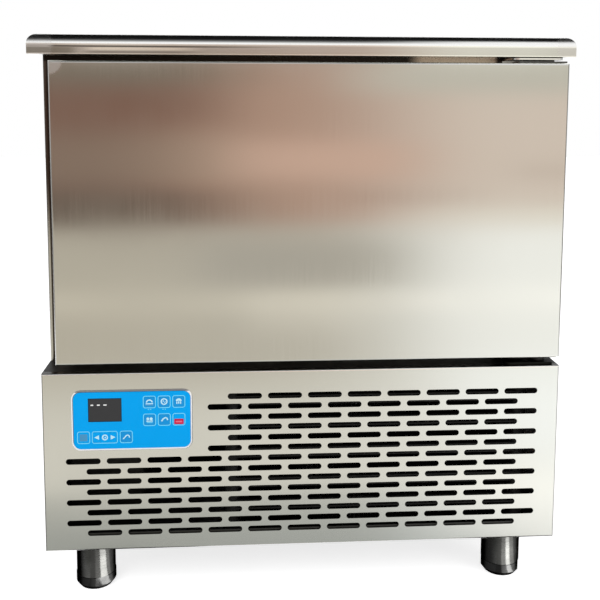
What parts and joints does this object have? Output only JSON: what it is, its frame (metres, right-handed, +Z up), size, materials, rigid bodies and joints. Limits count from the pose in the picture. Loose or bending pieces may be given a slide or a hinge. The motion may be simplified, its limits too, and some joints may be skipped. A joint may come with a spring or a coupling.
{
  "type": "blast freezer",
  "caption": "Under-counter blast freezer in stainless steel: side-hung insulated door over a slotted machine panel with a keypad, bullnose worktop, tray racks inside, round levelling legs.",
  "frame": {"origin": "on the floor, below the middle of the worktop", "axes": "+X to the right as seen from the front, where the door hinges are; +Y from the door to the back; +Z up"},
  "size_m": [0.805, 0.7, 0.864],
  "materials": {
    "casing_steel": "satin",
    "zinc_steel": "matte",
    "dark_plastic": "matte",
    "hinge_steel": "satin",
    "leg_steel": "polished",
    "foam": "matte",
    "door_moulding": "satin",
    "seal_rubber": "matte",
    "control_blue": "satin",
    "control_rim": "gloss",
    "display_dark": "gloss",
    "board_green": "satin",
    "coil_aluminium": "satin",
    "machine_black": "gloss",
    "pipe_copper": "satin"
  },
  "bodies": {
    "cabinet": {"worktop": "casing_steel", "side_panel_left": "casing_steel", "side_panel_right": "casing_steel", "front_fascia": "casing_steel", "machine_panel": "casing_steel", "inner_liner": "casing_steel", "rack_left": "casing_steel", "rack_right": "casing_steel", "fan_baffle": "casing_steel", "rear_panel": "zinc_steel", "rear_grille": "zinc_steel", "floor_skin": "zinc_steel", "base_tray": "zinc_steel", "condenser_shroud": "zinc_steel", "electrical_box": "zinc_steel", "sill_strip": "dark_plastic", "breaker_frame": "dark_plastic", "control_housing": "dark_plastic", "cable_gland": "dark_plastic", "hinge_bracket_upper": "hinge_steel", "hinge_bracket_lower": "hinge_steel", "hinge_pins": "hinge_steel", "casing_screws": "hinge_steel", "fan_guard": "hinge_steel", "leg_tubes": "leg_steel", "insulation": "foam", "compressor_mounts": "seal_rubber", "control_overlay": "control_blue", "control_bezel": "control_rim", "display_window": "display_dark", "control_board": "board_green", "evaporator_coil": "coil_aluminium", "condenser": "coil_aluminium", "evaporator_fan_motor": "machine_black", "condenser_fan_motor": "machine_black", "compressor": "machine_black", "receiver_tank": "machine_black", "refrigerant_lines": "pipe_copper"},
    "door": {"door_skin": "casing_steel", "door_foam": "foam", "door_liner": "door_moulding", "door_gasket": "seal_rubber", "door_hinge_plates": "hinge_steel", "hinge_bushes": "dark_plastic"},
    "foot_front_left": {"foot_front_left": "leg_steel"},
    "foot_front_right": {"foot_front_right": "leg_steel"},
    "foot_rear_left": {"foot_rear_left": "leg_steel"},
    "foot_rear_right": {"foot_rear_right": "leg_steel"},
    "evaporator_fan": {"evaporator_fan": "dark_plastic"},
    "condenser_fan": {"condenser_fan": "dark_plastic"},
    "key_power": {"key_power": "control_blue"},
    "key_left": {"key_left": "control_blue"},
    "key_right": {"key_right": "control_blue"},
    "key_menu": {"key_menu": "control_blue"},
    "key_chill": {"key_chill": "control_blue"},
    "key_freeze": {"key_freeze": "control_blue"},
    "key_probe": {"key_probe": "control_blue"},
    "key_timer": {"key_timer": "control_blue"},
    "key_defrost": {"key_defrost": "control_blue"},
    "key_start": {"key_start": "control_blue"}
  },
  "joints": [
    {"name": "door_hinge", "type": "hinge", "parent": "cabinet", "child": "door", "pos_m": [0.3685, -0.322, 0.6], "axis": [0, 0, 1], "range_deg": [0, 110]},
    {"name": "foot_front_left_thread", "type": "slide", "parent": "cabinet", "child": "foot_front_left", "axis": [0, 0, -1], "range_m": [0, 0.025]},
    {"name": "foot_front_right_thread", "type": "slide", "parent": "cabinet", "child": "foot_front_right", "axis": [0, 0, -1], "range_m": [0, 0.025]},
    {"name": "foot_rear_left_thread", "type": "slide", "parent": "cabinet", "child": "foot_rear_left", "axis": [0, 0, -1], "range_m": [0, 0.025]},
    {"name": "foot_rear_right_thread", "type": "slide", "parent": "cabinet", "child": "foot_rear_right", "axis": [0, 0, -1], "range_m": [0, 0.025]},
    {"name": "evaporator_fan_spin", "type": "hinge", "parent": "cabinet", "child": "evaporator_fan", "pos_m": [0, 0.149, 0.5985], "axis": [0, -1, 0], "continuous": true},
    {"name": "condenser_fan_spin", "type": "hinge", "parent": "cabinet", "child": "condenser_fan", "pos_m": [0.115, -0.2505, 0.2162], "axis": [0, -1, 0], "continuous": true},
    {"name": "key_power_press", "type": "slide", "parent": "cabinet", "child": "key_power", "axis": [0, 1, 0], "range_m": [0, 0.0004], "stiffness_N_per_m": 2500},
    {"name": "key_left_press", "type": "slide", "parent": "cabinet", "child": "key_left", "axis": [0, 1, 0], "range_m": [0, 0.0004], "stiffness_N_per_m": 2500},
    {"name": "key_right_press", "type": "slide", "parent": "cabinet", "child": "key_right", "axis": [0, 1, 0], "range_m": [0, 0.0004], "stiffness_N_per_m": 2500},
    {"name": "key_menu_press", "type": "slide", "parent": "cabinet", "child": "key_menu", "axis": [0, 1, 0], "range_m": [0, 0.0004], "stiffness_N_per_m": 2500},
    {"name": "key_chill_press", "type": "slide", "parent": "cabinet", "child": "key_chill", "axis": [0, 1, 0], "range_m": [0, 0.0004], "stiffness_N_per_m": 2500},
    {"name": "key_freeze_press", "type": "slide", "parent": "cabinet", "child": "key_freeze", "axis": [0, 1, 0], "range_m": [0, 0.0004], "stiffness_N_per_m": 2500},
    {"name": "key_probe_press", "type": "slide", "parent": "cabinet", "child": "key_probe", "axis": [0, 1, 0], "range_m": [0, 0.0004], "stiffness_N_per_m": 2500},
    {"name": "key_timer_press", "type": "slide", "parent": "cabinet", "child": "key_timer", "axis": [0, 1, 0], "range_m": [0, 0.0004], "stiffness_N_per_m": 2500},
    {"name": "key_defrost_press", "type": "slide", "parent": "cabinet", "child": "key_defrost", "axis": [0, 1, 0], "range_m": [0, 0.0004], "stiffness_N_per_m": 2500},
    {"name": "key_start_press", "type": "slide", "parent": "cabinet", "child": "key_start", "axis": [0, 1, 0], "range_m": [0, 0.0004], "stiffness_N_per_m": 2500}
  ]
}
